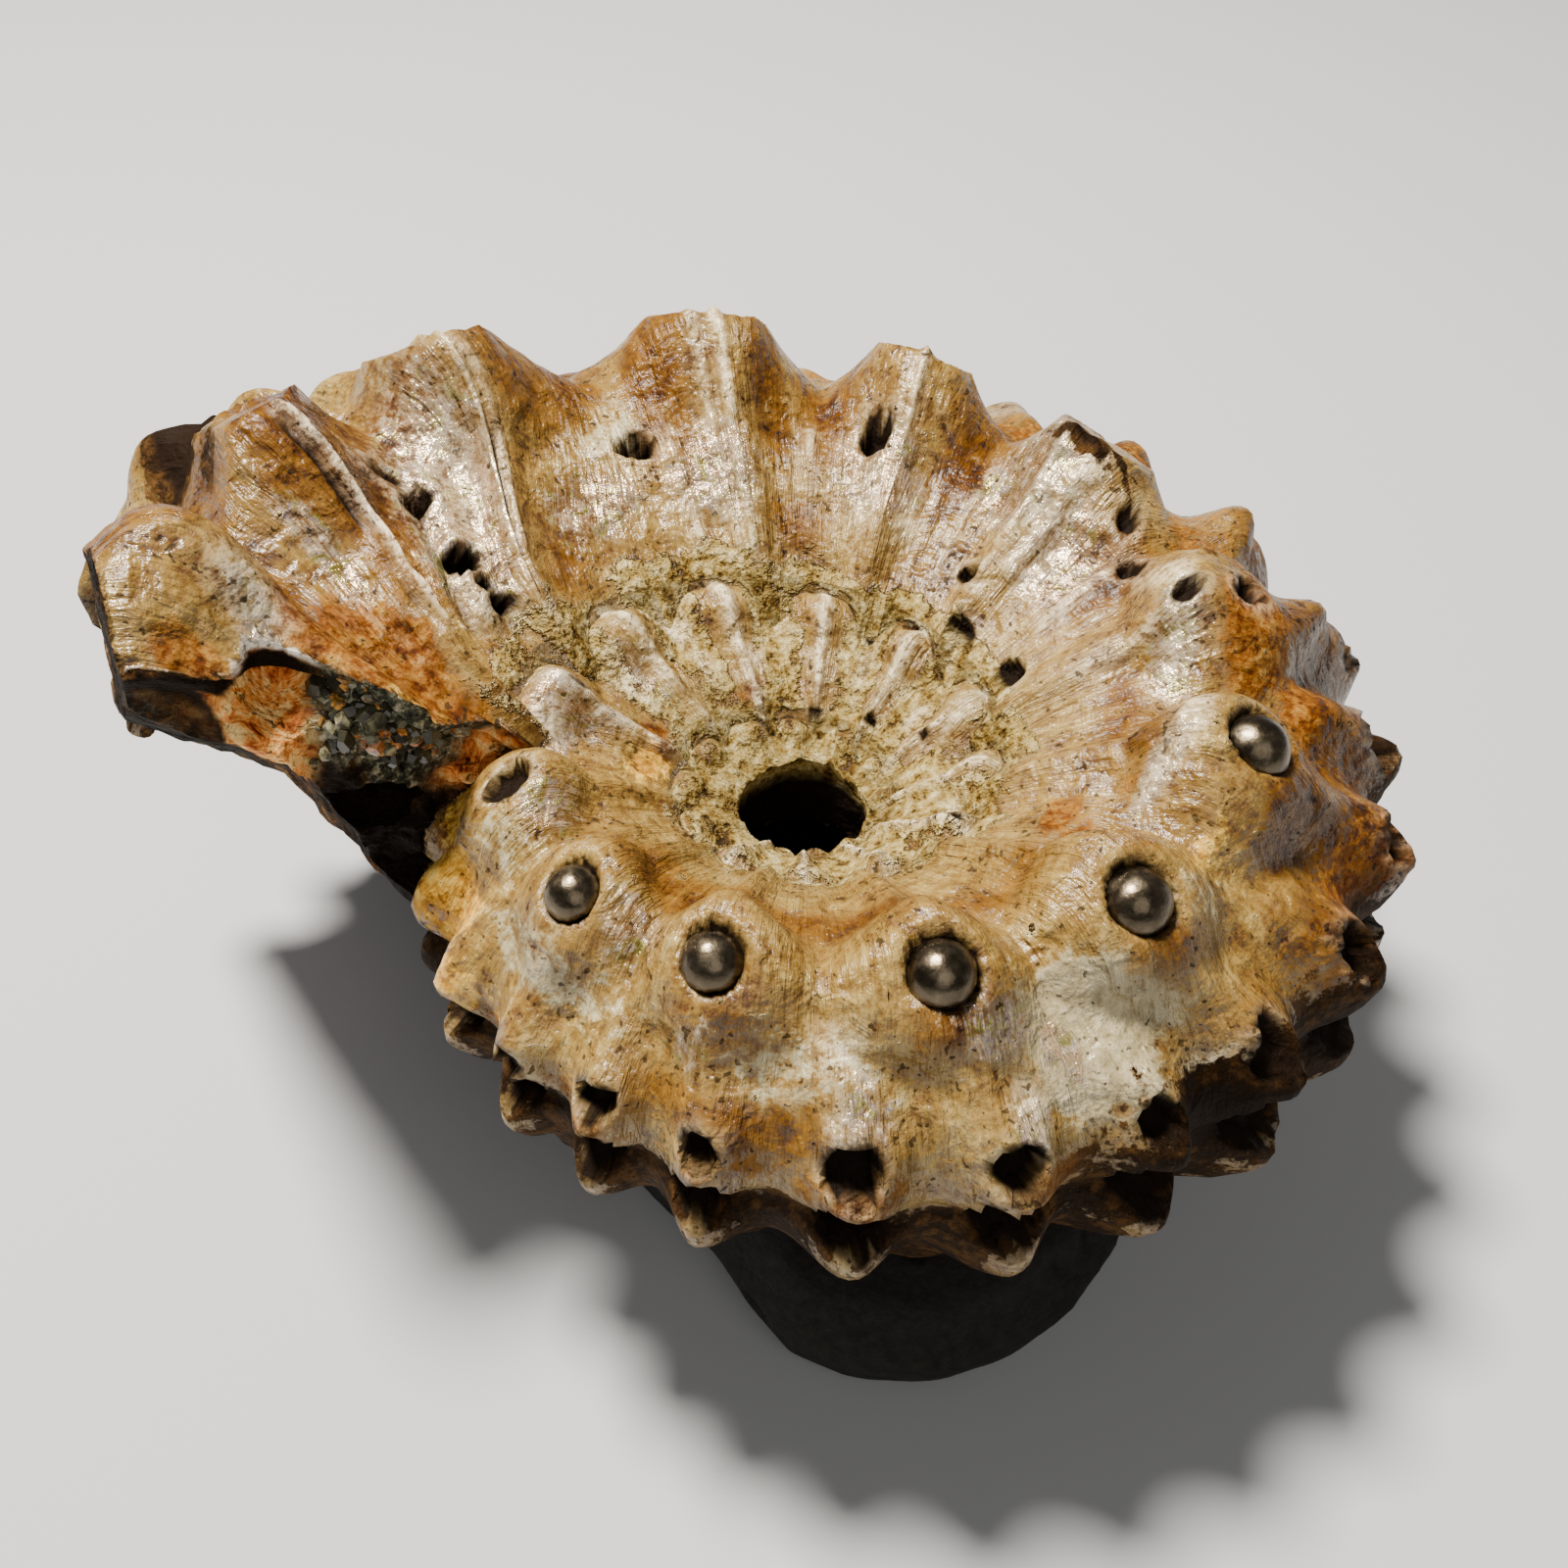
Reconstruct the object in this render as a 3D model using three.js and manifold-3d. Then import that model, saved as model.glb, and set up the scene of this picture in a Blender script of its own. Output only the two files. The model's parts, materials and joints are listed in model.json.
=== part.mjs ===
// A spiny ammonite lying on a flat dark cobble. Millimetres and degrees, +Z up.
//
// The shell is one tube wound in a logarithmic spiral: every section of it has the same shape, made larger
// by growth(heading). Ribs cross the tube and carry rows of broken tubercles. The end of the body chamber
// is broken off obliquely, and the innermost turns are lost, which leaves a round hole in the middle.
// Lengths of the section, the ribs and the knobs are those at heading 0, where growth is 1.
import * as THREE from "three";
import { mergeVertices } from "three/addons/utils/BufferGeometryUtils.js";
import Module from "manifold-3d";

const wasm = await Module();
wasm.setup();

// ---------------------------------------------------------------- driving dimensions
const coil = {
  centre: [4.41, -7.65, 22.6], // where the middle of the coil sits; heading 0 points along +X from it
  ring: 18.4, // coiling axis to the middle of the section
  growth: 0.124, // per radian, so each turn is 2.18 times the size of the one inside it
  tilt: 2.4, // the coiling axis leans this far towards +X, which holds the aperture up
};
const section = {
  // distances from the middle of the section to the shell between ribs
  rim: 9.9, // outer rim, in the young whorls
  rimGain: 3.6, // how much fuller the rim gets in the half turn round heading -60
  rimLoss: 2, // and how much of that it gives back towards the aperture
  flank: 11,
  wall: 9.6, // the wall that drops into the umbilicus
  seam: 10, // where the wall meets the turn inside it
};
const ribs = {
  pitch: 29.2, // heading between primary ribs; a secondary rib stands halfway
  newest: 162, // heading of the newest primary rib, before its drift
  drift: [-7.5, 5, -1.5, 1, 3, -1.4, 0.3, -2.6, -1.5, -3, 1, 0.7], // natural unevenness, newest first
  width: 4.6,
  swing: 6, // how far a rib leans forward by the time it reaches the rim
  shoulders: [ // where ribs stand proud of the flank
    { heading: 27, spread: 27, height: 3.2 },
    { heading: 144, spread: 8, height: 3.4 },
    { heading: 157, spread: 5, height: 3 },
  ],
  shoulderAngle: 46,
};
const knob = {
  angle: 68, // place of the umbilical row round the section: 0 is the rim, 90 the top
  face: 56, // the broken tops look this way
  reach: 13.8, // middle of the section to the plane of the broken top
  top: 2.1, // radius of the broken top
  foot: 7.2, // radius of the foot
  flare: 0.6, // how much wider the foot of a newer knob is, whose sides are hollow
  newer: [-0.6, 4.5], // the knobs between these ribs are the newer ones
};
const ball = { radius: 2, sink: 0.4, ribs: [6, 7, 8, 9, 10] }; // mineral balls left in these knobs
const pits = { // open sockets: the rib each is on, its angle round the section and its radius
  knobs: [[5, 1.0], [11, 1.6]].map(([rib, radius]) => ({ rib, angle: 68, radius })),
  rim: [5, 5.5, 6.5, 7, 7.5, 8, 8.5, 9, 9.5, 10, 10.5].map((rib) => ({ rib, angle: 14, radius: 1.5 })),
  wall: [[-0.15, 113], [0.09, 96], [1.58, 97], [2.86, 90]].map(
    ([rib, angle]) => ({ rib, angle, radius: 0.9 })),
};
const hole = { radius: 3.5, sides: 18 };
// Each break is a plane, given by its normal and its distance from the middle of the coil.
const aperture = {
  heading: 194, // where the shell ends at its crest
  rimBreak: { normal: [0.92, 0.382, -0.085], distance: -34.2 }, // takes off the outer rim
  underBreaks: [ // what lies below both of these is gone
    { normal: [0.276, 0.717, 0.641], distance: -5 },
    { normal: [0.706, 0.608, 0.362], distance: -18.4 },
  ],
  cavity: { heading: 194, out: 23.5, up: 6, radii: [3.2, 4, 2.4] },
};
const cobble = {
  height: 14.2,
  gap: 0.3, // between the cobble and the shell that it carries
  // plan outline, from the middle of the coil, anticlockwise
  plan: [[20.6, -11], [15.3, -20.2], [7.6, -24.2], [-0.8, -22.2], [-5.5, -15.6], [-12, -9], [-16.5, 0],
    [-16.5, 9.5], [-10.5, 17], [0, 19], [12, 15], [19.5, 4]],
  planSteps: 24,
  // from the top down: height as a share of the cobble's, and width as a share of the plan's
  profile: [[1, 0.2], [0.94, 0.48], [0.82, 0.74], [0.64, 0.91], [0.35, 1], [0.1, 0.94], [0, 0.84]],
};

// height of a rib above the shell at each angle round the section
const primaryCrest = [[0, 0.8], [6, 2.8], [13, 3.3], [23, 3], [35, 1.5], [48, 1.2], [68, 1.5], [98, 1.4],
  [136, 0.8], [180, 0]];
const secondaryCrest = [[0, 0.8], [6, 2.8], [13, 3.3], [23, 2.8], [35, 1.3], [48, 0.5], [60, 0], [180, 0]];

// angles sampled round the upper and lower half of a section, and rings to each rib pitch
const outerMesh = {
  upper: [0, 6, 13, 23, 35, 48, 58, 68, 80, 98, 122, 148, 180],
  lower: [15, 35, 52, 68, 84, 115],
  steps: 8,
};
const middleMesh = { upper: [0, 48, 68, 98, 122, 148, 180], lower: [40, 68, 84, 115], steps: 6 };
const innerMesh = { ...middleMesh, steps: 4 };
const splitRib = 4; // the breaks at the aperture reach back to this rib
const middleRib = 12; // the second whorl starts at this rib
const innerRib = 24; // and the innermost turns at this one
const lastRib = 35.5; // which end here, in the hole
const shortest = 0.04; // details smaller than this are taken out of the finished solids

// ---------------------------------------------------------------- small helpers
const radians = THREE.MathUtils.degToRad;
const smooth = (x) => THREE.MathUtils.smoothstep(x, 0, 1);
const hump = (x, width) => Math.exp(-((x / width) ** 2));
const growth = (heading) => Math.exp(coil.growth * radians(heading));

function along(points, x) {
  const next = Math.max(1, points.findIndex((p) => p[0] >= x));
  const [x0, y0] = points[next - 1];
  const [x1, y1] = points[next];
  return y0 + ((y1 - y0) * (x - x0)) / (x1 - x0);
}

// Ribs are counted back from the newest primary, so rib 0.5 is the secondary behind it.
function ribHeading(rib) {
  const i = THREE.MathUtils.clamp(rib, 0, ribs.drift.length - 1);
  const before = ribs.drift[Math.floor(i)];
  const after = ribs.drift[Math.ceil(i)];
  return ribs.newest - ribs.pitch * rib + before + (after - before) * (i - Math.floor(i));
}

// ---------------------------------------------------------------- the section
function betweenRibs(heading, a) {
  const rim =
    section.rim +
    section.rimGain * smooth((heading + 160) / 200) -
    section.rimLoss * smooth((heading - 60) / 100);
  let radius = section.wall;
  radius += (section.flank - section.wall) * smooth((125 - a) / 60);
  radius += (section.seam - section.wall) * smooth((a - 105) / 55);
  radius += (rim - section.flank) * smooth((60 - a) / 50);
  return radius;
}

function ribHeight(rib, heading, a) {
  const onPrimary = hump((rib - Math.round(rib)) * ribs.pitch, ribs.width);
  const onSecondary = hump((rib - Math.floor(rib) - 0.5) * ribs.pitch, ribs.width);
  let height = along(primaryCrest, a) * onPrimary + along(secondaryCrest, a) * onSecondary;
  const onFlank = hump(a - ribs.shoulderAngle, 12);
  for (const shoulder of ribs.shoulders) {
    const here = hump(heading - shoulder.heading, shoulder.spread);
    height += shoulder.height * here * onFlank * (onPrimary + onSecondary);
  }
  return height;
}

// Share of a knob's full height, 1 over its broken top and 0 past its foot.
function knobShare(rib, a) {
  const rowRadius = coil.ring + knob.reach * Math.cos(radians(knob.angle));
  const acrossRib = radians((rib - Math.round(rib)) * ribs.pitch) * rowRadius;
  const alongRib = radians(a - knob.angle) * knob.reach;
  const newer = smooth((rib - knob.newer[0]) / 0.3) * smooth((knob.newer[1] - rib) / 0.3);
  const foot = knob.foot + knob.flare * newer;
  const cone = THREE.MathUtils.clamp((foot - Math.hypot(acrossRib, alongRib)) / (foot - knob.top), 0, 1);
  return smooth(cone) + (cone ** 1.7 - smooth(cone)) * newer;
}

// Distance from the middle of the section to the shell.
function shellRadius(rib, angle) {
  const a = Math.abs(angle);
  const heading = ribHeading(rib);
  const radius = betweenRibs(heading, a) + ribHeight(rib, heading, a);
  const brokenTop = knob.reach / Math.cos(radians(a - knob.face));
  return radius + (brokenTop - radius) * knobShare(rib, a);
}

// A point of a section, from the middle of the coil, before the coil is tilted.
function sectionPoint(heading, radius, angle) {
  const out = growth(heading) * (coil.ring + radius * Math.cos(radians(angle)));
  const up = growth(heading) * radius * Math.sin(radians(angle));
  return new THREE.Vector3(out * Math.cos(radians(heading)), out * Math.sin(radians(heading)), up);
}

function shellPoint(rib, angle) {
  const heading = ribHeading(rib);
  const lean = ribs.swing * smooth((60 - Math.abs(angle)) / 40) * smooth((heading + 150) / 110);
  return sectionPoint(heading + lean, shellRadius(rib, angle), angle);
}

// ---------------------------------------------------------------- solids
// Turns a closed geometry given from the middle of the coil into a solid in its place.
function solidOf(geometry, tilt) {
  const bare = geometry.index ? geometry.toNonIndexed() : geometry.clone();
  bare.deleteAttribute("normal");
  bare.deleteAttribute("uv");
  const merged = mergeVertices(bare.rotateY(radians(tilt)).translate(...coil.centre), 1e-4);
  return new wasm.Manifold(
    new wasm.Mesh({
      numProp: 3,
      vertProperties: merged.attributes.position.array,
      triVerts: new Uint32Array(merged.index.array),
    }),
  );
}

const coilSolid = (geometry) => solidOf(geometry, coil.tilt);

function geometryOf(solid) {
  const mesh = solid.getMesh();
  const geometry = new THREE.BufferGeometry();
  geometry.setAttribute("position", new THREE.BufferAttribute(mesh.vertProperties, 3));
  geometry.setIndex(new THREE.BufferAttribute(mesh.triVerts, 1));
  return geometry;
}

const middleOf = (points) =>
  points.reduce((sum, p) => sum.add(p), new THREE.Vector3()).divideScalar(points.length);

// A closed skin over rings of points, each ring a closed loop and all of one length.
function skin(rings) {
  const size = rings[0].length;
  const points = rings.flat();
  const faces = [];
  for (let i = 0; i + 1 < rings.length; i++) {
    for (let j = 0; j < size; j++) {
      const a = i * size + j;
      const b = i * size + ((j + 1) % size);
      faces.push(a, b, b + size, a, b + size, a + size);
    }
  }
  const lastStart = (rings.length - 1) * size;
  points.push(middleOf(rings[0]), middleOf(rings.at(-1)));
  for (let j = 0; j < size; j++) {
    const k = (j + 1) % size;
    faces.push(points.length - 2, k, j, points.length - 1, lastStart + j, lastStart + k);
  }
  const geometry = new THREE.BufferGeometry().setFromPoints(points);
  geometry.setIndex(faces);
  return geometry;
}

// The tube between two ribs.
function whorl(fromRib, toRib, { upper, lower, steps }) {
  const loop = [...upper, ...lower.toReversed().map((angle) => -angle)];
  const rings = [];
  for (let i = 0; i <= Math.round((toRib - fromRib) * steps); i++) {
    rings.push(loop.map((angle) => shellPoint(fromRib + i / steps, angle)));
  }
  return coilSolid(skin(rings));
}

// The one body of a solid, without the specks that the joining and cutting leave in it and beside it.
function finished(solid) {
  const shells = solid.simplify(shortest).decompose();
  return shells.reduce((largest, other) => (other.volume() > largest.volume() ? other : largest));
}

// Everything on the low side of a plane.
function lowSide({ normal, distance }) {
  const size = 160;
  const box = new THREE.BoxGeometry(size, size, size);
  box.translate(0, 0, distance - size / 2);
  const up = new THREE.Vector3(0, 0, 1);
  const facing = new THREE.Vector3(...normal).normalize();
  box.applyQuaternion(new THREE.Quaternion().setFromUnitVectors(up, facing));
  return coilSolid(box);
}

function pellet(centre, radius, detail) {
  const geometry = new THREE.IcosahedronGeometry(radius, detail);
  return coilSolid(geometry.translate(centre.x, centre.y, centre.z));
}

function breakAperture(tube) {
  const { heading, out, up, radii } = aperture.cavity;
  const cavity = new THREE.IcosahedronGeometry(1, 1).scale(...radii).rotateZ(radians(heading));
  cavity.translate(out * Math.cos(radians(heading)), out * Math.sin(radians(heading)), up);
  const [upper, lower] = aperture.underBreaks.map(lowSide);
  return tube
    .subtract(lowSide(aperture.rimBreak))
    .subtract(upper.intersect(lower))
    .subtract(coilSolid(cavity));
}

function turns() {
  const firstRib = (ribs.newest + ribs.drift[0] - aperture.heading) / ribs.pitch;
  return breakAperture(whorl(firstRib, splitRib, outerMesh))
    .add(whorl(splitRib, middleRib, outerMesh))
    .add(whorl(middleRib, innerRib, middleMesh))
    .add(whorl(innerRib, lastRib, innerMesh));
}

function ammonite() {
  const bore = new THREE.CylinderGeometry(hole.radius, hole.radius, 60, hole.sides);
  let shell = turns().subtract(coilSolid(bore.rotateX(Math.PI / 2)));
  for (const { rib, angle, radius } of Object.values(pits).flat()) {
    shell = shell.subtract(pellet(shellPoint(rib, angle), radius * growth(ribHeading(rib)), 0));
  }
  for (const rib of ball.ribs) {
    const heading = ribHeading(rib);
    const centre = sectionPoint(heading, knob.reach - ball.sink, knob.angle);
    shell = shell.add(pellet(centre, ball.radius * growth(heading), 1));
  }
  return finished(shell);
}

function cobbleUnder(shell) {
  const corners = cobble.plan.map(([x, y]) => new THREE.Vector3(x, y, 0));
  const outline = new THREE.CatmullRomCurve3(corners, true).getPoints(cobble.planSteps).slice(0, -1);
  const middle = middleOf(outline);
  const rings = cobble.profile.map(([up, wide]) =>
    outline.map((p) => p.clone().lerp(middle, 1 - wide).setZ(up * cobble.height - coil.centre[2])));
  const stone = solidOf(skin(rings), 0).subtract(shell).subtract(shell.translate([0, 0, -cobble.gap]));
  return finished(stone);
}

// ---------------------------------------------------------------- the part
function piece(name, solid, look) {
  const mesh = new THREE.Mesh(geometryOf(solid), new THREE.MeshStandardMaterial(look));
  mesh.name = name;
  return mesh;
}

const shell = ammonite();
const group = new THREE.Group();
group.add(piece("ammonite", shell, { color: 0xa5875f, roughness: 0.45, metalness: 0.1 }));
group.add(piece("cobble", cobbleUnder(shell), { color: 0x1d1d1b, roughness: 0.85, metalness: 0 }));

export default group;
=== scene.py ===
"""A spiny ammonite fossil on a dark cobble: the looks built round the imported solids. Metres, +Z up.

The shell is one tube wound in a logarithmic spiral, as in the part's own source. Places on it are named
by three numbers: the rib (counted back from the newest), the heading in degrees (falling by 360 each turn
inwards) and the angle round the section (0 is the rim, 90 the top). Lengths on the shell are in mm at
heading 0 and grow with the shell.
"""

import json
import math

import bmesh
import bpy
import numpy as np
from mathutils import Euler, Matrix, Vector
from mathutils.kdtree import KDTree

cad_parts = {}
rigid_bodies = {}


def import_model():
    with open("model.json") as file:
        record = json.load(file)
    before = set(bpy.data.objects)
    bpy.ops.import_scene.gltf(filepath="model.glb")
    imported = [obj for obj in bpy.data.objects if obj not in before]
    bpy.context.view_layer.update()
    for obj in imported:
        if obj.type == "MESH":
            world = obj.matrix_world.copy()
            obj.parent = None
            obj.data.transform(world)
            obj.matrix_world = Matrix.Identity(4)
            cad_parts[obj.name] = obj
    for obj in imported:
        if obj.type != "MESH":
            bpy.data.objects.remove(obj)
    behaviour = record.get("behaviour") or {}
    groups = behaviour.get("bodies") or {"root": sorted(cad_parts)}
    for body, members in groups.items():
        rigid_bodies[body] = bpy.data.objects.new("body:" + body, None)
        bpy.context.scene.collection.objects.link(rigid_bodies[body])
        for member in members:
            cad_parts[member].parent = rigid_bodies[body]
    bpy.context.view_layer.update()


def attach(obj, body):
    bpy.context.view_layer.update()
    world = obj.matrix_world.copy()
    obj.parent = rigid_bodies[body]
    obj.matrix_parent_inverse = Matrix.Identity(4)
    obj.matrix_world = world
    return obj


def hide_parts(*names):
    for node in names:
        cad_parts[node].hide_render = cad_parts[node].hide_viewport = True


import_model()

MM = 0.001
EXACT = 2e-6  # points nearer than this are the same, m
LEAST = 400  # a loose part of a mesh with fewer points than this is a crumb
THROUGH = 60  # how deep a cut goes, past anything in its way, mm

# ------------ dimensions shared with the solids
CENTRE = np.array([4.41, -7.65, 22.6])  # middle of the coil, mm
TILT = math.radians(2.4)
RING = 18.4
GROWTH = 0.124
RIM, RIM_GAIN, RIM_LOSS, FLANK, WALL, SEAM = 9.9, 3.6, 2.0, 11.0, 9.6, 10.0
PITCH = 29.2
NEWEST = 162.0
DRIFT = [-7.5, 5, -1.5, 1, 3, -1.4, 0.3, -2.6, -1.5, -3, 1, 0.7]  # degrees off even spacing
RIB_WIDTH = 4.6
SWING = 6.0
SHOULDERS = [(27, 27, 3.2), (144, 8, 3.4), (157, 5, 3.0)]  # heading, spread, rise
SHOULDER_ANGLE = 46
KNOB_ANGLE, KNOB_FACE, KNOB_REACH, KNOB_TOP, KNOB_FOOT = 68, 56, 13.8, 2.1, 7.2
KNOB_FLARE, KNOB_NEWER = 0.6, (-0.6, 4.5)  # wider knobs, on these ribs
BALL_RADIUS, BALL_SINK = 2.0, 0.4
BALL_RIBS = [6, 7, 8, 9, 10]
CRYSTALS = 190
PRIMARY = [(0, 0.8), (6, 2.8), (13, 3.3), (23, 3), (35, 1.5), (48, 1.2), (68, 1.5), (98, 1.4), (136, 0.8),
           (180, 0)]
SECONDARY = [(0, 0.8), (6, 2.8), (13, 3.3), (23, 2.8), (35, 1.3), (48, 0.5), (60, 0), (180, 0)]
HOLE_RADIUS = 3.5
HOLE_EDGE = 2.2  # the hole's wall is in the dark below this height
# broken faces: normal and distance from the middle of the coil
RIM_BREAK = ([0.92, 0.382, -0.085], -34.2)
UNDER_BREAKS = [([0.276, 0.717, 0.641], -5.0), ([0.706, 0.608, 0.362], -18.4)]
END_HEADING = 194.0
CAVITY = (194.0, 23.5, 6.0, (3.2, 4.0, 2.4))  # heading, distance out, height, radii
# how far the broken end's edge and its infill reach past the plane, in mm, at angles round the section
END_EDGE = [(30, 1.6), (75, 1.6), (80, 1.5), (85.5, 1.1), (89.4, 0.1), (91.6, -1.2), (94, -1.6), (97, -1.6),
            (103, -0.5), (109, 0.6), (116, 1.3), (120, 1.2), (127, 0.2), (133, -0.9), (140, -1.6),
            (180, -2)]
END_INFILL = [(30, -0.6), (74, -0.4), (84, -0.9), (100, -0.4), (112, 0.2), (124, -0.9), (134, -1.2),
              (180, -3)]


# ------------ numbers
def smooth(x):
    x = np.clip(x, 0, 1)
    return x * x * (3 - 2 * x)


def hump(x, width):
    return np.exp(-((x / width) ** 2))


def along(pairs, x):
    xs, ys = zip(*pairs)
    return np.interp(x, xs, ys)


class Noise:
    """Smooth seeded noise in space, from -1 to 1."""

    CELLS = 32
    LAYERS = 3

    def __init__(self, seed):
        self.grid = np.random.default_rng(seed).uniform(-1, 1, (self.CELLS,) * 3)

    def at(self, points, size):
        p = np.asarray(points) / size
        base = np.floor(p).astype(int)
        f = p - base
        f = f * f * (3 - 2 * f)
        total = 0
        for corner in np.ndindex(2, 2, 2):
            cell = (base + corner) % self.CELLS
            share = np.prod(np.where(np.array(corner) == 1, f, 1 - f), axis=-1)
            total = total + share * self.grid[cell[..., 0], cell[..., 1], cell[..., 2]]
        return total

    def layered(self, points, size):
        total = 0
        for i in range(self.LAYERS):
            total = total + self.at(points + 7.3 * i, size / 2**i) / 2**i
        return total / 1.5


lumps = Noise(1)
grit = Noise(2)
patches = Noise(3)


# ------------ the shell's form
def growth(heading):
    return np.exp(GROWTH * np.radians(heading))


def rib_heading(rib):
    return NEWEST - PITCH * rib + np.interp(rib, np.arange(len(DRIFT)), DRIFT)


def between_ribs(heading, a):
    rim = RIM + RIM_GAIN * smooth((heading + 160) / 200) - RIM_LOSS * smooth((heading - 60) / 100)
    radius = WALL + (FLANK - WALL) * smooth((125 - a) / 60)
    radius = radius + (SEAM - WALL) * smooth((a - 105) / 55)
    return radius + (rim - FLANK) * smooth((60 - a) / 50)


def off_primary(rib):
    return (rib - np.round(rib)) * PITCH


def off_secondary(rib):
    return (rib - np.floor(rib) - 0.5) * PITCH


def rib_height(rib, heading, a):
    on_primary = hump(off_primary(rib), RIB_WIDTH)
    on_secondary = hump(off_secondary(rib), RIB_WIDTH)
    height = along(PRIMARY, a) * on_primary + along(SECONDARY, a) * on_secondary
    for middle, spread, rise in SHOULDERS:
        here = rise * hump(heading - middle, spread) * hump(a - SHOULDER_ANGLE, 12)
        height = height + here * (on_primary + on_secondary)
    return height


def knob_share(rib, a):
    row = RING + KNOB_REACH * math.cos(math.radians(KNOB_ANGLE))
    across = np.radians(off_primary(rib)) * row
    up_down = np.radians(a - KNOB_ANGLE) * KNOB_REACH
    newer = smooth((rib - KNOB_NEWER[0]) / 0.3) * smooth((KNOB_NEWER[1] - rib) / 0.3)
    foot = KNOB_FOOT + KNOB_FLARE * newer
    top = KNOB_TOP + 0.7 * newer
    cone = np.clip((foot - np.hypot(across, up_down)) / (foot - top), 0, 1)
    return smooth(cone) + (cone**2.1 - smooth(cone)) * newer


def plain_radius(rib, angle):
    a = np.abs(angle)
    heading = rib_heading(rib)
    radius = between_ribs(heading, a) + rib_height(rib, heading, a)
    broken_top = KNOB_REACH / np.cos(np.radians(np.clip(a - KNOB_FACE, -80, 80)))
    return radius + (broken_top - radius) * knob_share(rib, a)


def section_point(heading, radius, angle):
    heading, radius, angle = np.broadcast_arrays(heading, radius, angle)
    g = growth(heading)
    out = g * (RING + radius * np.cos(np.radians(angle)))
    up = g * radius * np.sin(np.radians(angle))
    return np.stack([out * np.cos(np.radians(heading)), out * np.sin(np.radians(heading)), up], axis=-1)


def wall_lean(heading, angle):
    """How far the newest ribs sweep forward, in degrees, as they run down the inner wall."""
    sweep = 22 * smooth((angle - 80) / 65) * smooth((heading - 108) / 30)
    newest = smooth((heading - 142) / 10) * smooth((182 - heading) / 18)
    return sweep + 7 * smooth((angle - 64) / 18) * newest


def leaning(rib, angle):
    heading = rib_heading(rib)
    forward = SWING * smooth((60 - np.abs(angle)) / 40) * smooth((heading + 150) / 110)
    return heading + forward + wall_lean(heading, angle)


# ------------ features on the shell
# open sockets: rib, angle, radius, depth
SOCKETS = [(4.97, 66, 0.8, 0.9), (5.03, 69, 0.5, 0.7), (5.06, 84, 0.45, 0.8), (11, 69, 1.5, 1.3),
           (0.54, 113, 0.6, 1.3), (0.45, 95, 0.55, 1.2), (0.65, 126, 0.42, 0.9), (1.58, 97, 0.75, 1.7),
           (2.86, 93, 0.7, 1.7), (0.38, 86, 0.3, 0.6), (0.6, 120, 0.3, 0.6), (4.55, 84, 0.6, 0.9),
           (4.35, 78, 0.5, 0.8), (3.85, 119, 0.45, 0.8), (4.1, 133, 0.5, 0.8), (4.67, 130, 0.6, 0.9),
           (12.04, 88, 0.4, 0.5), (13.66, 66, 0.7, 0.8), (15, 135, 0.6, 0.7), (16.07, 126, 0.6, 0.8),
           (17, 107, 0.6, 0.8), (17.45, 78, 0.6, 0.9), (18.9, 80, 0.8, 0.8), (15.5, 76, 0.5, 0.7),
           (16.45, 70, 0.6, 0.8)]
SOCKETS += [(rib / 2, 21, 0.95 + 0.2 * (rib % 3), 1.7) for rib in range(10, 20)]
SOCKETS += [(10, 14, 0.9, 1.4), (10.6, 11, 0.7, 1.4)]
# pits along the very rim, between its tips: like every socket they are painted near black inside, as shade
SOCKETS += [(rib / 2, 1, 1.8, 1.7) for rib in range(10, 22)]
# lines along the ribs: rib, degrees off its crest, width in degrees, rise, first and last angle
RIDGES = [(0, 0.4, 0.7, 0.6, 78, 124), (1, -0.9, 0.55, 0.42, 70, 140), (1, 1.1, 0.5, 0.3, 74, 140),
          (1, -13.5, 2, 0.3, 84, 132), (2, -3.4, 0.55, 0.34, 76, 138), (2, -0.9, 0.6, 0.42, 74, 138),
          (3, 1.3, 0.7, 0.3, 72, 118), (4, 3.6, 1.4, 0.5, 78, 116), (4, -1.5, 1.3, 0.36, 78, 112),
          (5, 3, 1.2, 0.25, 80, 120), (4.5, 0, 1.2, 0.25, 84, 120), (3.5, 2, 1, 0.2, 90, 130),
          (2.45, 0, 0.9, 0.2, 88, 130), (1.6, 3, 0.9, 0.18, 92, 135)]
RIDGES += [(rib, 0, 2.2, 0.5, 66, 150) for rib in range(12, 23)]
CRACKS = [(0, -1.2, 0.6, 0.8, 78, 101), (0, -1.3, 0.5, 0.45, 101, 124), (1, 0.1, 0.45, 0.45, 74, 140),
          (1, -16.8, 1.3, 0.4, 84, 132), (2, -2.2, 0.5, 0.35, 78, 130), (3, 2.4, 0.4, 0.2, 76, 100)]


def near(heading, angle, place, radius=11.8):
    """Distance along the shell in mm (at heading 0) from a place given by rib and angle."""
    at_rib, at_angle = place[:2]
    row = RING + radius * math.cos(math.radians(at_angle))
    across = np.radians(heading - leaning(at_rib, at_angle)) * row
    up_down = np.radians(angle - at_angle) * radius
    return np.hypot(across, up_down)


def lines_along(rib, heading, angle, point, lines):
    """The lines' rise, unevenly broken along its run."""
    total = np.zeros(np.shape(heading))
    uneven = smooth(1.1 + 1.4 * grit.at(point, 2.2))
    for number, off, width, rise, first, last in lines:
        across = (rib - number) * PITCH - off
        ends = smooth((angle - first) / 5) * smooth((last - angle) / 8)
        total = total + rise * hump(across, width) * ends
    return total * (0.15 + 0.85 * uneven)


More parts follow.
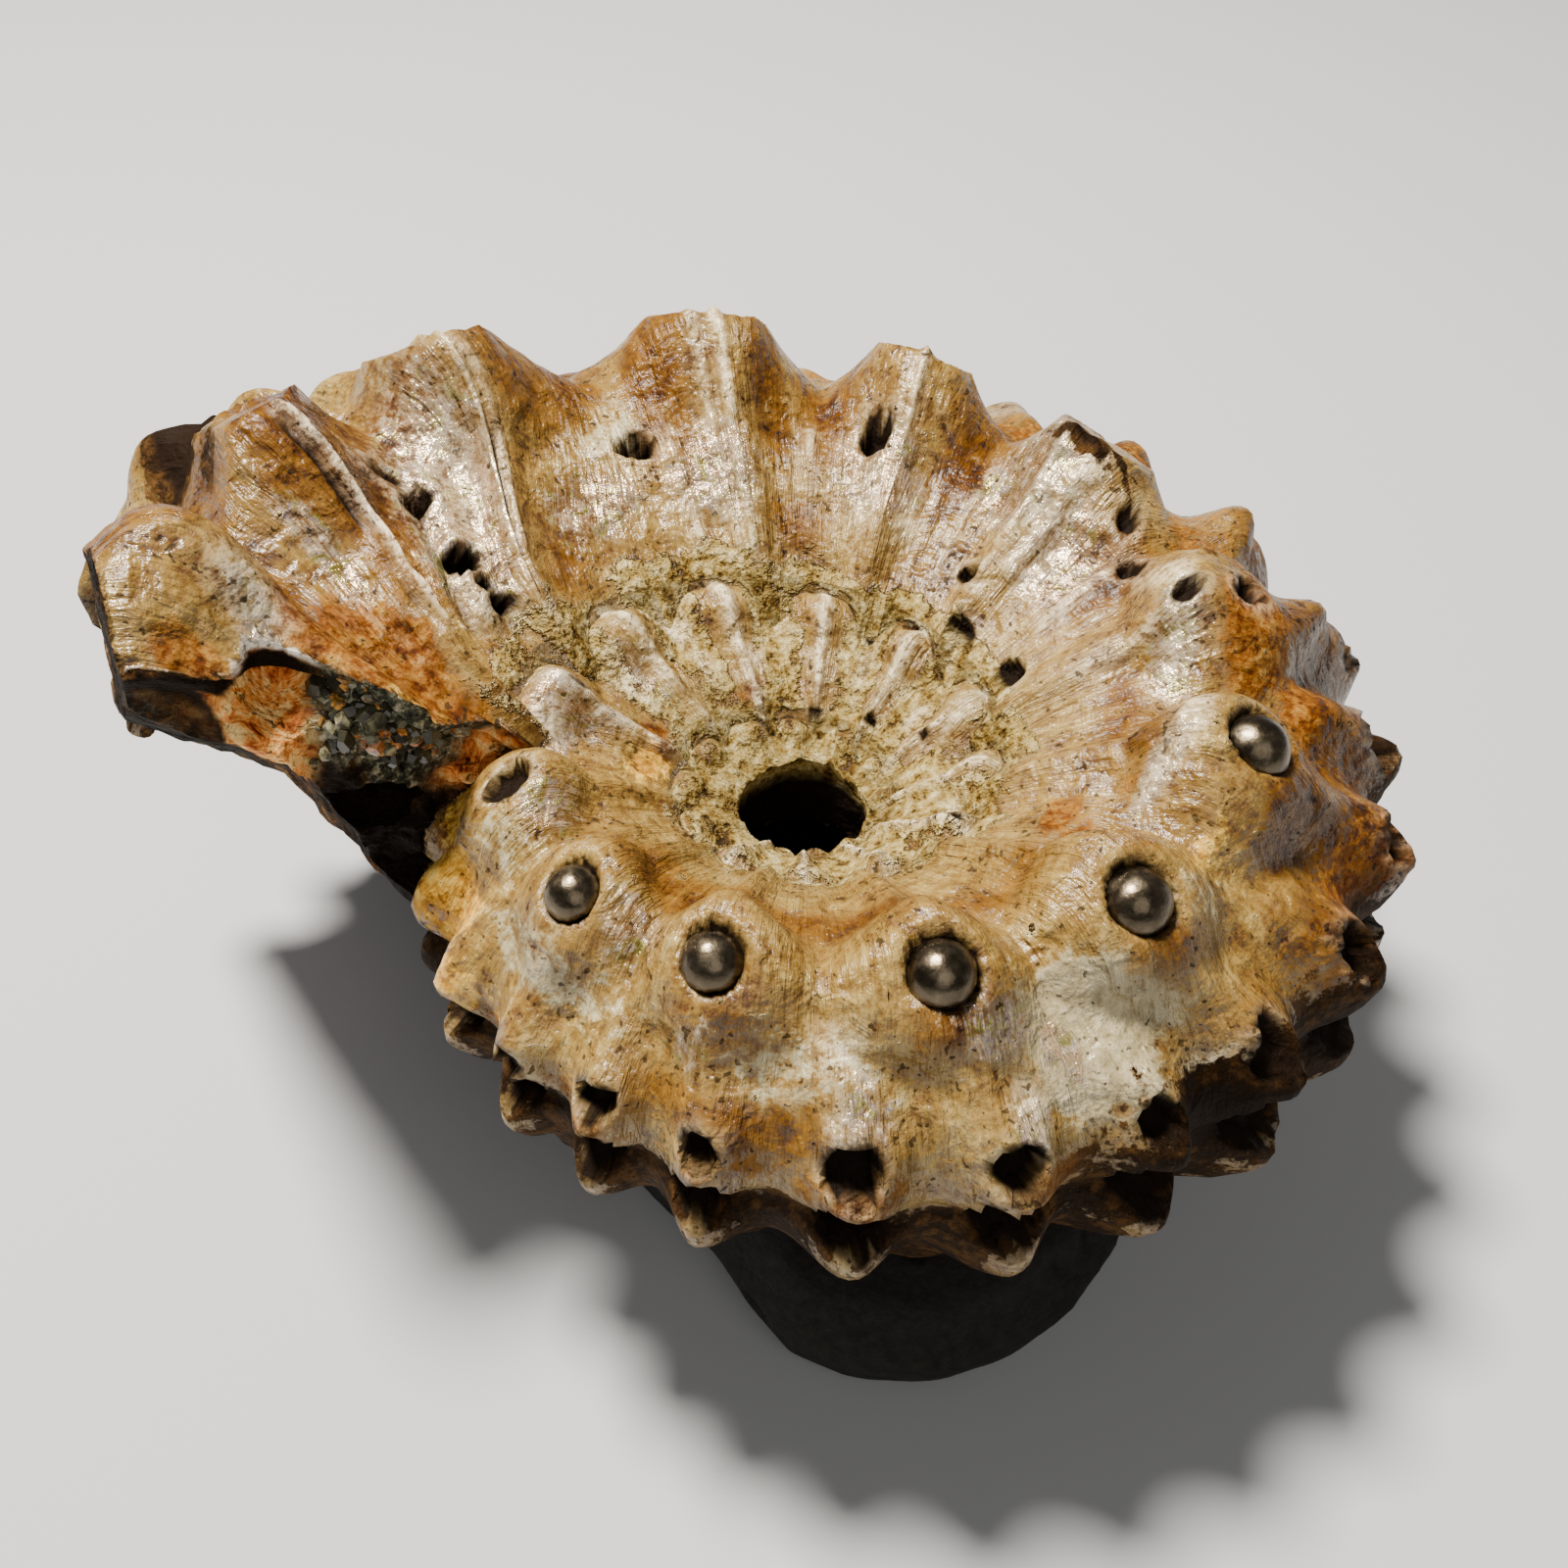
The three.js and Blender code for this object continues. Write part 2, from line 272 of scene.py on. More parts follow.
def relief(rib, heading, angle, point):
    """Fine height over the plain shell, in mm at heading 0, how dark it is (cracks, and painted shade
    inside the sockets and round the balls) and how worn bright it is.
    """
    a = np.abs(angle)
    upper = smooth((angle + 30) / 20)
    height = 0.17 * lumps.layered(point, 4.0) + 0.08 * grit.layered(point, 1.3)
    height = height + 0.3 * lumps.at(point, 6.5) * hump(a - 55, 25)
    # growth lines run across the whorl, as the ribs do
    unleaned = heading - wall_lean(heading, angle)
    flow = np.stack([unleaned * 0.5, angle * 0.05, np.zeros_like(heading)], axis=-1)
    height = height + 0.13 * lumps.layered(flow, 1.0) * smooth((a - 20) / 30)
    ridges = lines_along(rib, heading, angle, point, RIDGES)
    cracks = lines_along(rib, heading, angle, point, CRACKS)
    height = height + ridges - cracks
    bright = np.clip(ridges / 0.6, 0, 0.8)
    dark = smooth((cracks - 0.15) / 0.45)
    ragged = 1 + 0.3 * grit.at(point, 1.1)
    for place in SOCKETS:
        d = near(heading, angle, place) / ragged
        radius, depth = place[2:]
        inside = smooth((radius + 0.2 - d) / 0.4)
        rim = hump(d - radius - 0.35, 0.35)
        height = height - depth * inside + 0.08 * rim
        # painted shade: each socket is coloured near black inside
        within = smooth((radius + 0.35 - d) / 0.25)
        dark = np.maximum(dark, within)
        bright = np.maximum(bright, 0.2 * rim) * (1 - within)
    # the sockets that still hold their ball
    for number in BALL_RIBS:
        d = near(heading, angle, (number, KNOB_ANGLE), KNOB_REACH) * (1 + 0.08 * grit.at(point, 1.5))
        rim = hump(d - BALL_RADIUS - 0.5, 0.35)
        height = height + 0.07 * rim - 0.8 * smooth((BALL_RADIUS + 0.1 - d) / 0.4)
        # painted shade: a near black ring where the ball sits in its socket
        dark = np.maximum(dark, smooth((BALL_RADIUS + 0.12 - d) / 0.15))
    # broken crusts: the cap of the newest knob, and the flank by the previous turn's mouth
    cap = hump(unleaned - 156, 6) * hump(angle - 60, 11)
    crust = hump(heading + 160, 12) * hump(angle - 34, 16)
    height = height + (0.9 * cap + 0.3 * crust) * (np.abs(grit.layered(point, 1.6)) - 0.15)
    return height * (0.45 + 0.55 * upper), dark, bright


def sediment_share(heading, angle, point):
    """Grit lies in the seam between the turns, between the inner ribs and round the hole."""
    rough = patches.layered(point, 3.0) + 0.5 * grit.layered(point, 1.5)
    turn = smooth((angle - 128 + 10 * rough) / 12) * smooth((heading + 175) / 40)
    turn = turn * (1 - 0.9 * smooth((heading - 180) / 8))
    inner = smooth((-345 - heading + 60 * rough) / 60) * smooth((angle - 60) / 30)
    ledge = smooth((-195 - heading) / 12) * smooth((heading + 318) / 20)
    ledge = ledge * smooth((64 - angle + 12 * rough) / 10)
    low = smooth((-190 - heading) / 20) * smooth((angle - 122 + 14 * rough) / 12)
    valley = smooth((np.abs(off_primary((NEWEST + DRIFT[-1] - heading) / PITCH)) - 4.5) / 4)
    valley = valley * smooth((-195 - heading) / 10) * smooth((angle - 50) / 20) * (0.75 + 0.5 * rough)
    return np.clip(np.maximum.reduce([turn, inner * 0.8, ledge * 0.8, low, valley]), 0, 1)


# ------------ meshes
def to_world(points):
    x, y, z = np.moveaxis(np.asarray(points, dtype=float), -1, 0)
    c, s = math.cos(TILT), math.sin(TILT)
    return (np.stack([c * x + s * z, y, c * z - s * x], axis=-1) + CENTRE) * MM


def linked(name, data):
    piece = bpy.data.objects.new(name, data)
    bpy.context.collection.objects.link(piece)
    return piece


def mesh_of(name, points, faces):
    mesh = bpy.data.meshes.new(name)
    mesh.from_pydata([tuple(p) for p in points], [], faces)
    mesh.validate()
    return linked(name, mesh)


def opened(mesh):
    form = bmesh.new()
    form.from_mesh(mesh)
    return form


def closed(form, mesh):
    form.to_mesh(mesh)
    form.free()
    return mesh


def piece_from(name, form):
    return linked(name, closed(form, bpy.data.meshes.new(name)))


def taken_apart(form):
    points = np.array([v.co for v in form.verts])
    faces = [tuple(v.index for v in f.verts) for f in form.faces]
    form.free()
    return points, faces


def points_of(mesh):
    flat = np.empty(len(mesh.vertices) * 3, dtype=np.float32)
    mesh.vertices.foreach_get("co", flat)
    return flat.reshape(-1, 3).astype(float)


def shade_smooth(mesh):
    for polygon in mesh.polygons:
        polygon.use_smooth = True


def apply_modifiers(piece):
    bpy.context.view_layer.update()
    graph = bpy.context.evaluated_depsgraph_get()
    old = piece.data
    piece.data = bpy.data.meshes.new_from_object(piece.evaluated_get(graph))
    piece.modifiers.clear()
    bpy.data.meshes.remove(old)


def outward(piece):
    form = opened(piece.data)
    bmesh.ops.recalc_face_normals(form, faces=form.faces)
    if form.calc_volume(signed=True) < 0:
        bmesh.ops.reverse_faces(form, faces=form.faces)
    closed(form, piece.data)
    return piece


def loop_faces(rings, size):
    faces = []
    for i in range(rings - 1):
        for j in range(size):
            a = i * size + j
            b = i * size + (j + 1) % size
            faces.append((a, b, b + size, a + size))
    return faces


class Cloud:
    """The points that surfaces were made from, with what is known of each, so that it can be looked up."""

    def __init__(self):
        self.points = []
        self.values = []

    def add(self, points, **values):
        count = len(points)
        self.points.append(points)
        self.values.append({key: np.broadcast_to(v, (count,)) for key, v in values.items()})

    def lookup(self, queries):
        """What is known at the nearest points, and how far away they are."""
        points = np.concatenate(self.points)
        tree = KDTree(len(points))
        for i, p in enumerate(points):
            tree.insert(p, i)
        tree.balance()
        found = [tree.find(q) for q in queries]
        nearest = np.array([f[1] for f in found])
        far = np.array([f[2] for f in found])
        keys = self.values[0].keys()
        joined = {key: np.concatenate([v[key] for v in self.values]) for key in keys}
        return {key: value[nearest] for key, value in joined.items()}, far


skin = Cloud()  # the shell's own surface
breaks = Cloud()  # the surfaces that cut it
SECTION = np.concatenate([np.arange(-18, 30, 2.2), np.arange(31, 134, 1.6), np.arange(138, 226, 11),
                          np.arange(232, 338, 8.5)])


def tube(name, from_rib, to_rib, per_rib, section):
    count = int(round((to_rib - from_rib) * per_rib)) + 1
    ribs = np.linspace(from_rib, to_rib, count)[:, None]
    angles = ((section + 180) % 360 - 180)[None, :]
    rib, angle = np.broadcast_arrays(ribs, angles)
    heading = leaning(rib, angle)
    radius = plain_radius(rib, angle)
    rough = section_point(heading, radius, angle)
    height, dark, bright = relief(rib, heading, angle, rough)
    grains = sediment_share(heading, angle, rough)
    bumps = 0.12 + 0.1 * np.abs(grit.layered(rough, 0.8)) + 0.2 * lumps.layered(rough, 2.6)
    height = height * (1 - 0.4 * grains) + bumps * grains / growth(heading) ** 0.5
    points = section_point(heading, radius + height, angle).reshape(-1, 3)
    size = len(section)
    world = to_world(points)
    unleaned = heading - wall_lean(rib_heading(rib), angle)
    skin.add(world, heading=unleaned.ravel(), angle=angle.ravel(), rho=radius.ravel(), dark=dark.ravel(),
             bright=bright.ravel(), grains=grains.ravel(), broken=0.0)
    ends = [tuple(range(size)), tuple(reversed(range((count - 1) * size, count * size)))]
    return outward(mesh_of(name, world, loop_faces(count, size) + ends))


def slab(name, normal, distance, size, step, height_of, middle=(0, 0, 0)):
    """A block below a rough plane. height_of gives the plane's relief from points in the coil's frame."""
    z = np.array(normal, dtype=float)
    z = z / np.linalg.norm(z)
    x = np.cross([0, 0, 1], z)
    x = x / np.linalg.norm(x)
    y = np.cross(z, x)
    n = int(size / step) + 1
    s = (np.arange(n) - (n - 1) / 2) * step
    u, v = np.meshgrid(s, s, indexing="ij")
    flat = distance * z + np.array(middle) + u[..., None] * x + v[..., None] * y
    top = flat + height_of(flat)[..., None] * z
    bottom = flat - THROUGH * z
    world = to_world(np.concatenate([top.reshape(-1, 3), bottom.reshape(-1, 3)]))
    add_broken(world[: n * n])
    faces = []
    index = np.arange(n * n).reshape(n, n)
    for i in range(n - 1):
        for j in range(n - 1):
            a, b, c, d = index[i, j], index[i + 1, j], index[i + 1, j + 1], index[i, j + 1]
            faces.append((a, b, c, d))
            faces.append((d + n * n, c + n * n, b + n * n, a + n * n))
    border = list(index[:-1, 0]) + list(index[-1, :-1]) + list(index[:0:-1, -1]) + list(index[0, :0:-1])
    for a, b in zip(border, border[1:] + border[:1]):
        faces.append((b, a, a + n * n, b + n * n))
    return outward(mesh_of(name, world, [tuple(int(k) for k in f) for f in faces]))


def from_world(points):
    x, y, z = np.moveaxis(np.asarray(points) / MM - CENTRE, -1, 0)
    c, s = math.cos(TILT), math.sin(TILT)
    return np.stack([c * x - s * z, y, c * z + s * x], axis=-1)


def turn_place(points, lowest, highest):
    """Heading between the two limits, angle and distance from the middle of the section."""
    local = from_world(points)
    heading = np.degrees(np.arctan2(local[..., 1], local[..., 0]))
    heading = lowest + (heading - lowest) % 360
    heading = np.where(heading > highest, heading - 360, heading)
    g = growth(heading)
    out = np.hypot(local[..., 0], local[..., 1]) / g - RING
    up = local[..., 2] / g
    return heading, np.degrees(np.arctan2(up, out)), np.hypot(out, up)


def add_broken(world):
    heading, angle, rho = turn_place(world, 0, 360)
    breaks.add(world, heading=heading, angle=angle, rho=rho, dark=0.0, bright=0.0, grains=0.0, broken=1.0)


def lumpy_ball(name, centre, radii, amount):
    form = bmesh.new()
    bmesh.ops.create_icosphere(form, subdivisions=4, radius=1.0)
    points, faces = taken_apart(form)
    swell = 1 + amount * lumps.layered(points * 2.0, 1.0)
    world = to_world(points * swell[:, None] * np.array(radii) + np.array(centre))
    add_broken(world)
    return outward(mesh_of(name, world, faces))


def join(kept, tool, operation):
    modifier = kept.modifiers.new("join", "BOOLEAN")
    modifier.operation = operation
    modifier.solver = "MANIFOLD"
    modifier.object = tool
    apply_modifiers(kept)
    spent = tool.data
    bpy.data.objects.remove(tool)
    bpy.data.meshes.remove(spent)
    return kept


def rough_plane(amount, size):
    return lambda p: amount * lumps.layered(p, size) + 0.3 * amount * grit.layered(p, size / 4)


def wall_depth(heading, angle, rho):
    """How far inside the shell's own surface a place on the broken end lies, in mm at heading 0."""
    a = np.clip(np.abs(angle), 30, 150)
    swept = leaning(-1, a) - rib_heading(-1)
    rib = (NEWEST + DRIFT[0] - heading + swept) / PITCH
    return plain_radius(rib, a) - rho


def end_height(p):
    """How far the broken end reaches past its plane, in mm: an arched edge, a gap, then the infill."""
    heading, angle, rho = turn_place(to_world(p), 100, 300)
    a = np.abs(angle)
    depth = wall_depth(heading, angle, rho)
    edge = along(END_EDGE, a) + 0.15 * lumps.layered(p, 1.2)
    gap = edge - 0.7 - 0.6 * hump(a - 94, 9)
    infill = along(END_INFILL, a) + 3.0 * hump(a - 91, 8) * hump(depth - 3.6, 2.2)
    craggy = smooth((a - 101) / 6) * (0.9 * lumps.layered(p, 1.7) + 0.6 * np.abs(grit.layered(p, 1.1)))
    infill = infill + craggy + 0.35 * lumps.layered(p, 2.2) + 0.18 * grit.layered(p, 0.7)
    filled = gap + (infill - gap) * smooth((depth - 0.8) / 1.5)
    return edge + (filled - edge) * smooth((depth - 0.28) / 0.3)


def end_point(rho, angle):
    """A place on the flat plane of the broken end."""
    return section_point(END_HEADING, rho, angle)


def shell():
    split, middle, inner, last = 4, 12, 24, 35.5  # ribs at which the mesh gets coarser
    first = (NEWEST + DRIFT[0] - END_HEADING - 6) / PITCH
    coarse = SECTION[::2]
    whole = tube("ammonite_fossil", first, split, 48, SECTION)
    end = math.radians(END_HEADING)
    forward = [math.sin(end), -math.cos(end), 0]
    past_end = slab("past_end", forward, 0.0, 58, 0.25, lambda p: -end_height(p), end_point(0, 0))
    join(whole, past_end, "DIFFERENCE")
    rim = slab("rim_break", *RIM_BREAK, 60, 0.45, rough_plane(0.5, 3.0))
    join(whole, rim, "DIFFERENCE")
    under = slab("under", *UNDER_BREAKS[0], 90, 0.5, rough_plane(0.7, 4.0))
    join(under, slab("under_too", *UNDER_BREAKS[1], 90, 0.5, rough_plane(0.7, 4.0)), "INTERSECT")
    join(whole, under, "DIFFERENCE")
    heading, out, up, radii = CAVITY
    centre = (out * math.cos(math.radians(heading)), out * math.sin(math.radians(heading)), up)
    join(whole, lumpy_ball("cavity", centre, radii, 0.35), "DIFFERENCE")
    join(whole, tube("newer", split, middle, 36, SECTION), "UNION")
    join(whole, tube("older", middle, inner, 30, coarse), "UNION")
    join(whole, tube("oldest", inner, last, 16, coarse), "UNION")
    return whole


def bore():
    form = bmesh.new()
    bmesh.ops.create_cone(form, segments=64, radius1=HOLE_RADIUS, radius2=HOLE_RADIUS,
                          depth=THROUGH, cap_ends=True)
    upright = [e for e in form.edges if abs(e.verts[0].co.z - e.verts[1].co.z) > 1]
    bmesh.ops.subdivide_edges(form, edges=upright, cuts=120, use_grid_fill=True)
    points, faces = taken_apart(form)
    swell = 1.05 + 0.1 * lumps.layered(points, 2.5) + 0.05 * grit.layered(points, 1.0)
    points[:, :2] *= swell[:, None]
    world = to_world(points)
    # painted shade: the hole's wall is coloured dark below HOLE_EDGE
    down = smooth((HOLE_EDGE - points[:, 2]) / 1.4)
    breaks.add(world, heading=-400.0, angle=90.0, rho=10.0, dark=down, bright=0.0, grains=1.0, broken=0.0)
    return outward(mesh_of("bore", world, faces))


def drop_crumbs(piece):
    """Takes away the slivers and shut-off voids that the cuts leave."""
    form = opened(piece.data)
    bmesh.ops.remove_doubles(form, verts=form.verts, dist=EXACT)
    bmesh.ops.dissolve_degenerate(form, edges=form.edges, dist=EXACT)
    same = {}
    for face in form.faces:
        same.setdefault(frozenset(face.verts), []).append(face)
    flaps = [face for group in same.values() if len(group) > 1 for face in group]
    bmesh.ops.delete(form, geom=flaps, context="FACES")
    waiting = set(form.verts)
    loose = []
    while waiting:
        group = [waiting.pop()]
        for v in group:
            for edge in v.link_edges:
                other = edge.other_vert(v)
                if other in waiting:
                    waiting.remove(other)
                    group.append(other)
        if len(group) < LEAST:
            loose += group
    bmesh.ops.delete(form, geom=loose, context="VERTS")
    closed(form, piece.data)


def known(world):
    """What is known of each point. The shell's own points are met exactly, others lie on a break."""
    on_skin, from_skin = skin.lookup(world)
    on_break, from_break = breaks.lookup(world)
    cut = (from_skin > EXACT) & (from_break < from_skin)
    return {key: np.where(cut, on_break[key], on_skin[key]) for key in on_skin}


# ------------ colour masks
# each patch: heading (before the newest ribs' sweep), angle, spread of both, strength
SPOTS = {
    "nacre": [(143, 104, 5.5, 30, 1.2), (-184, 86, 4, 8, 1.2), (107, 110, 8, 14, 1.1),
      (78, 104, 9, 13, 1.2), (53, 90, 8, 14, 1.4), (40, 98, 9, 16, 1), (8, 86, 8, 6, 1.2),
      (-20, 86, 7, 4, 1.1), (187, 92, 3, 5, 1), (-178, 80, 7, 12, 1.4), (-68, 54, 6, 10, 1),
      (-66, 28, 3, 7, 1.1), (-44, 20, 4, 7, 1.1), (-84, 34, 4, 12, 0.8), (-104, 46, 5, 10, 0.6),
      (-118, 68, 6, 14, 0.8), (-140, 84, 9, 9, 0.6), (-186, 92, 10, 22, 0.9), (-207, 98, 6, 20, 1.2),
      (-233, 86, 5, 13, 1), (-262, 88, 4, 11, 0.8), (-292, 94, 4, 14, 1), (-322, 94, 5, 16, 1),
      (-350, 92, 5, 14, 0.9), (-376, 88, 6, 11, 0.9), (124, 112, 7, 13, 0.9), (-150, 80, 8, 14, 0.7),
      (-40, 96, 8, 7, 0.6), (161.5, 100, 2, 20, 1.1), (-60, 44, 3, 12, 0.8)],
    "rust": [(186, 99, 3, 4, 1.8), (184.5, 106, 5, 6, 2), (184, 113, 5, 6, 2), (176, 120, 7, 7, 2),
      (166, 134, 6, 6, 1.8), (171, 107, 8, 9, 2), (164, 117, 6, 10, 2), (166, 127, 6, 9, 1.6),
      (181, 99, 5, 6, 1.8), (136, 137, 5, 5, 1), (194, 84, 2, 6, 1.2), (-36, 98, 8, 5, 1),
      (-246, 126, 7, 8, 1.3), (-194, 121, 8, 10, 1.2), (150, 139, 9, 8, 0.9), (9, 66, 9, 12, 1.3),
      (2, 50, 8, 12, 0.9), (-14, 20, 13, 13, 1.1), (-29, 108, 9, 8, 1), (-187, 128, 14, 12, 0.8),
      (-243, 130, 10, 10, 1.1), (-160, 30, 14, 20, 1.1), (-176, 66, 8, 18, 0.9), (52, 52, 20, 12, 0.9),
      (80, 50, 16, 10, 0.7), (-65, 10, 7, 9, 0.9), (-84, 12, 7, 9, 0.9), (-98, 14, 8, 8, 0.6),
      (-20, 92, 8, 8, 0.5), (32, 60, 8, 10, 0.7), (-40, 8, 8, 6, 0.8), (-118, 10, 10, 8, 0.8),
      (-135, 8, 8, 8, 0.7), (-152, 12, 8, 14, 0.8), (30, 30, 14, 20, 0.7), (-372, 120, 20, 14, 0.8)],
    "gold": [(-158, 34, 12, 12, 1.5), (-150, 16, 12, 12, 1.1), (-172, 50, 6, 14, 1), (182, 126, 8, 10, 1),
      (172, 138, 10, 8, 0.9), (-30, 66, 8, 6, 0.6), (-178, 124, 10, 12, 0.9)],
    "brown": [(152, 84, 8, 28, 1.5), (174, 84, 10, 30, 0.9), (130, 66, 8, 16, 1), (120, 60, 10, 18, 0.7),
      (-80, 94, 34, 11, 1), (-120, 94, 24, 12, 1), (-32, 84, 14, 12, 0.7), (-10, 92, 14, 12, 0.7),
      (102, 60, 12, 16, 0.8), (62, 66, 12, 14, 0.8), (-66, 46, 5, 14, 0.6), (-96, 28, 14, 12, 0.7),
      (20, 56, 12, 16, 0.9), (172, 62, 12, 20, 1), (-100, 56, 7, 9, 0.8), (-73, 58, 6, 8, 0.8),
      (182, 70, 8, 14, 0.8), (90, 72, 6, 14, 0.6), (5, 22, 34, 30, 1.5), (-16, 50, 10, 14, 1.2),
      (146, 84, 5, 20, 1.4), (112, 84, 5, 20, 1), (96, 88, 4, 16, 1), (88, 84, 7, 16, 1),
      (64, 90, 6, 20, 1.1), (30, 92, 8, 18, 1), (0, 100, 14, 8, 1), (124, 74, 6, 12, 1),
      (130, 122, 6, 12, 0.8), (92, 122, 6, 10, 0.7), (60, 120, 6, 12, 0.8), (-26, 30, 8, 10, 0.7),
      (130, 84, 8, 12, 0.8), (-45, 56, 6, 8, 0.5), (-130, 56, 6, 8, 0.6)],
    "pale": [(-58, 44, 10, 18, 1.8), (-130, 44, 16, 14, 0.7), (-92, 44, 12, 12, 0.6), (120, 92, 8, 8, 0.6),
      (128, 52, 5, 9, 0.6), (150, 52, 4, 8, 0.6), (-150, 60, 8, 16, 0.6), (-36, 62, 8, 9, 0.5),
      (90, 92, 4, 8, 0.5)],
    # black: dark marks on the shell; the patches low on the rim, at headings -46 to 4 and angles 0 to 8,
    # are painted shade
    "black": [(157, 51, 6, 7, 2.2), (164, 131, 6, 2.5, 0.7), (163, 66, 3, 5, 0.9), (102, 58, 6, 3, 0.9),
      (47.5, 79.5, 5, 2.6, 1.8), (43, 76, 5, 1.6, 1.2), (74, 59, 5, 3, 0.6), (137, 58, 5, 3, 0.6),
      (-300, 72, 3, 6, 0.9), (-322, 68, 3, 6, 0.9), (-345, 66, 3, 6, 0.8), (-264, 70, 3, 5, 0.7),
      (-218, 66, 3, 5, 0.7), (8, 40, 5, 5, 0.6), (22, 74, 3, 2.5, 0.6), (-30, 4, 16, 14, 1.2),
      (-46, 6, 13, 20, 1.8), (-22, 0, 16, 18, 1.7), (4, 8, 8, 10, 0.9), (193, 70, 3, 3, 1)],
    # painted glints: highlights painted into the colour as bright spots, through the bright attribute
    "painted_glints": [(43.5, 87, 1.3, 7, 1.5), (47.8, 94, 1.3, 8, 1.5), (41, 103, 2, 7, 0.9), (-337, 86, 2, 9, 1.2),
      (-302, 66, 2, 10, 1.1), (-251, 105, 3, 6, 1.1), (-209, 95, 1.6, 8, 1.2), (-231, 80, 3, 7, 1),
      (-389, 80, 3, 8, 0.9), (-21, 86, 4, 2, 1.4), (7, 86, 4, 3, 1.2), (-178, 80, 3, 6, 1.1),
      (78, 110, 3, 9, 0.7), (70, 112, 2, 7, 0.6), (106, 118, 3, 7, 0.6), (-14, 84, 8, 2.6, 1),
      (17, 85, 7, 3, 1), (-44, 24, 3, 3, 1), (-66, 30, 1.6, 6, 1), (-86, 52, 2.4, 6, 0.9),
      (186, 92, 2.5, 4, 0.9), (-205, 100, 2, 12, 0.9), (-233, 104, 2, 10, 0.8), (-292, 98, 2, 12, 0.8),
      (-322, 104, 2.4, 9, 0.9), (-378, 88, 4, 5, 0.8), (143, 96, 2.5, 16, 0.7), (-86, 30, 1.4, 7, 0.7)],
}


def gathered(info, spots):
    total = np.zeros(len(info["heading"]))
    for heading, angle, wide, high, share in spots:
        here = share * hump(info["heading"] - heading, wide) * hump(info["angle"] - angle, high)
        total = np.maximum(total, here)
    return total * (1 - info["broken"])


def masks(world, info):
    local = from_world(world)
    h, a = info["heading"], info["angle"]
    # painted shade: the low rim of the front half is coloured almost black between its lit tips, and the
    # underside below the rim is darkened all round
    front = smooth((h + 176) / 16) * smooth((14 - h) / 24)
    rough = lumps.layered(local, 2.5)
    black_and_painted_shade = front * smooth((9 - a + 8 * rough) / 11)
    tips = hump(off_rows(h), 3.6) * hump(a + 13, 8) * front
    below = smooth((-18 - a) / 12)
    black_and_painted_shade = np.maximum(black_and_painted_shade * (1 - 0.75 * tips), 0.85 * below) * (1 - info["broken"])
    found = {name: gathered(info, spots) for name, spots in SPOTS.items()}
    painted_glints = found.pop("painted_glints")
    found["black"] = np.maximum(found["black"], black_and_painted_shade)
    found["dark"] = np.clip(info["dark"], 0, 1)
    # the bright attribute holds worn ridges and rims, and the painted glints
    found["bright"] = np.clip(np.maximum(info["bright"], 0.9 * painted_glints), 0, 1)
    found["grains"] = info["grains"]
    found["broken"] = info["broken"]
    return found


def end_masks(world, info, dark):
    """The broken end: white edge, orange infill under the arch, grey-green crystals, and painted shade in
    black further in, over the low part of the end and in the gap under the arch.
    """
    heading, a, rho = turn_place(world, 100, 300)
    at_end = info["broken"] * smooth((heading - 172) / 6) * smooth((214 - heading) / 6)
    rough = lumps.layered(from_world(world), 1.6)
    depth = wall_depth(heading, a, rho)
    bulge = smooth(1.9 - np.hypot((a - 91) / 8, (depth - 3.6) / 2.8) + 0.6 * rough)
    seam = smooth(1.2 - np.hypot((a - 142) / 6, (depth - 1.6) / 1.6) + 1.2 * rough)
    orange = np.maximum(bulge, seam)
    green = smooth(1.8 - np.hypot((a - 119) / 15, (depth - 1.8) / 2.0) + 0.9 * rough)
    low_green = 0.6 * smooth(1.2 - np.hypot((a - 72) / 10, (depth - 2.6) / 1.8) + 0.9 * rough)
    # painted shade, coloured black: deep in the end, its low part below the arch, and the gap under the
    # arch's edge
    deep_in_shade = smooth((depth - 3.2 + 1.2 * rough) / 1.4) * smooth((a - 100) / 8)
    low_end_shade = smooth((85 - a + 4 * rough) / 3) * (1 - 0.7 * low_green)
    gap = smooth((0.65 - np.abs(depth - 0.85)) / 0.2) * smooth((106 - a) / 6)
    black = np.maximum.reduce([deep_in_shade, low_end_shade, gap])
    edge = at_end * smooth((0.28 - depth) / 0.1)
    return {
        "orange": at_end * orange * (1 - black),
        "green": at_end * np.maximum(green, low_green) * (1 - orange) * (1 - black),
        "dark": np.maximum(dark, at_end * black * (1 - edge)),
        "edge": edge * smooth((a - 88) / 3) * smooth((104 - a) / 5),
    }


def off_rows(heading):
    """Degrees from the nearest row of rim tips."""
    rows = leaning(np.arange(10, 22) / 2, 14.0)
    return np.abs(heading[:, None] - rows[None, :]).min(axis=1)


def paint(piece, values):
    for name, value in values.items():
        layer = piece.data.attributes.new(name, "FLOAT", "POINT")
        layer.data.foreach_set("value", np.asarray(value, dtype=np.float32))


